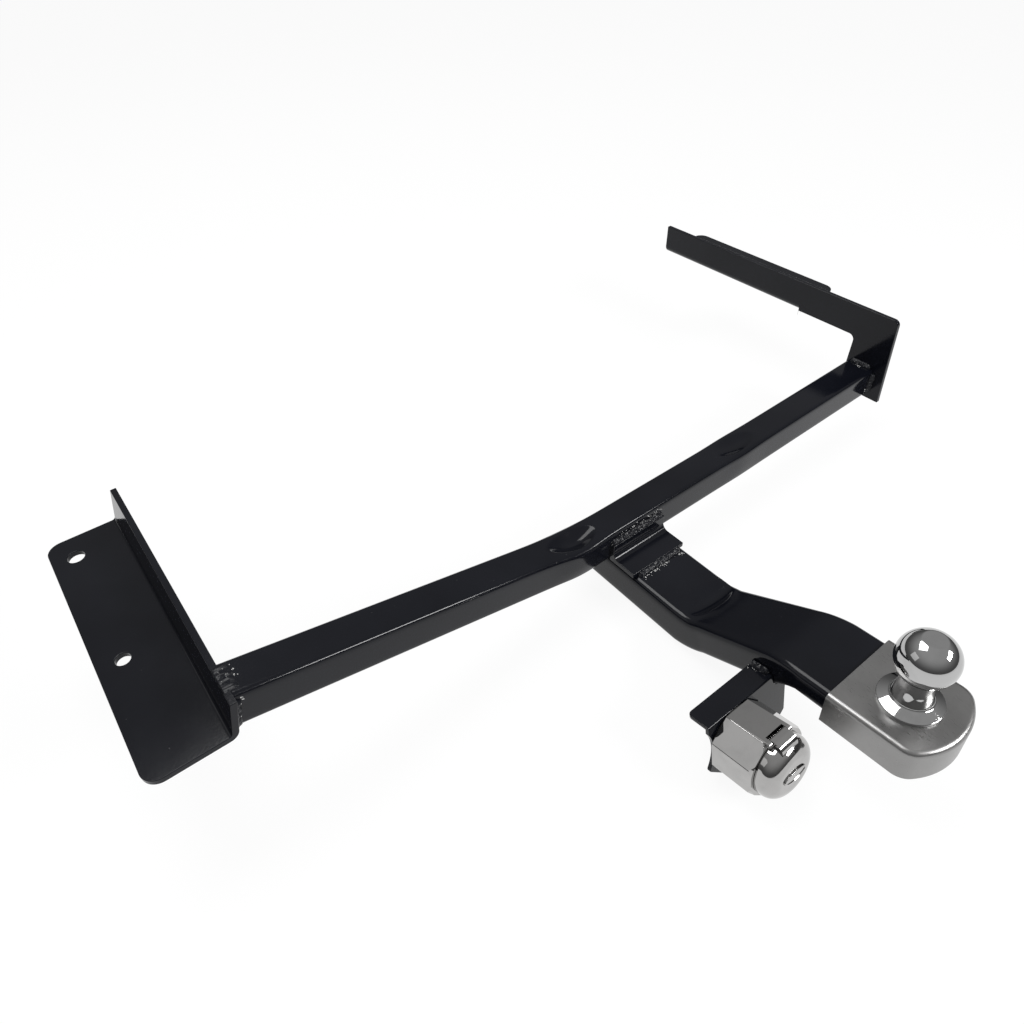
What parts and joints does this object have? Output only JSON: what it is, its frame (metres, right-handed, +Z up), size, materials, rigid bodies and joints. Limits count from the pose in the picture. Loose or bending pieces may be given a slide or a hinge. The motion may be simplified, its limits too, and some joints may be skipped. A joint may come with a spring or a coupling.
{
  "type": "towbar",
  "caption": "Fixed towbar: bent square crossbeam between folded side plates, S-shaped tongue with a bolted tow ball, and a trailer socket with a hinged lid.",
  "frame": {"origin": "centre of the left side plate's front bolt hole, on the upper face of the flange, which is the face that goes against the vehicle's rail", "axes": "+X along the crossbeam from the left plate to the right plate, +Y forward to the vehicle (the ball is at -Y), +Z up, square to the flanges"},
  "size_m": [1.072, 0.7683, 0.192],
  "materials": {
    "black_powder_coat": "gloss black powder coat on steel",
    "painted_weld": "rippled weld bead under the black coat, with pale spatter",
    "cap_aluminium": "satin bright pressed aluminium",
    "ball_chrome": "bright chrome on forged steel",
    "zinc_plate": "clear zinc plate",
    "housing_chrome": "bright chrome on die-cast zinc",
    "spring_steel": "drawn stainless wire",
    "carrier_plastic": "moulded black plastic",
    "contact_brass": "turned brass",
    "black_rubber": "moulded black rubber"
  },
  "bodies": {
    "towbar_frame": {"crossbeam": "black_powder_coat", "bracket_left": "black_powder_coat", "bracket_right": "black_powder_coat", "tongue": "black_powder_coat", "gusset": "black_powder_coat", "socket_bracket": "black_powder_coat", "weld_left": "painted_weld", "weld_right": "painted_weld", "weld_gusset_top": "painted_weld", "weld_gusset_foot": "painted_weld", "weld_tongue_sides": "painted_weld", "weld_socket_bracket": "painted_weld", "end_cap": "cap_aluminium", "tow_ball": "ball_chrome", "ball_spacer": "zinc_plate", "ball_washer": "zinc_plate", "ball_spring_washer": "zinc_plate", "ball_nut": "zinc_plate", "socket_screws": "zinc_plate", "socket_washers": "zinc_plate", "socket_nuts": "zinc_plate", "socket_housing": "housing_chrome", "hinge_pin": "spring_steel", "lid_spring": "spring_steel", "contact_carrier": "carrier_plastic", "contacts": "contact_brass", "socket_gasket": "black_rubber", "cable_boot": "black_rubber"},
    "socket_lid": {"lid": "housing_chrome", "lid_seal": "black_rubber", "lid_badge": "housing_chrome"}
  },
  "joints": [
    {"name": "lid_hinge", "type": "hinge", "parent": "towbar_frame", "child": "socket_lid", "pos_m": [0.417, -0.55415, -0.04782], "axis": [-1, 0, 0], "range_deg": [0, 100], "stiffness_Nm_per_rad": 0.03, "springref_deg": -28.65}
  ]
}
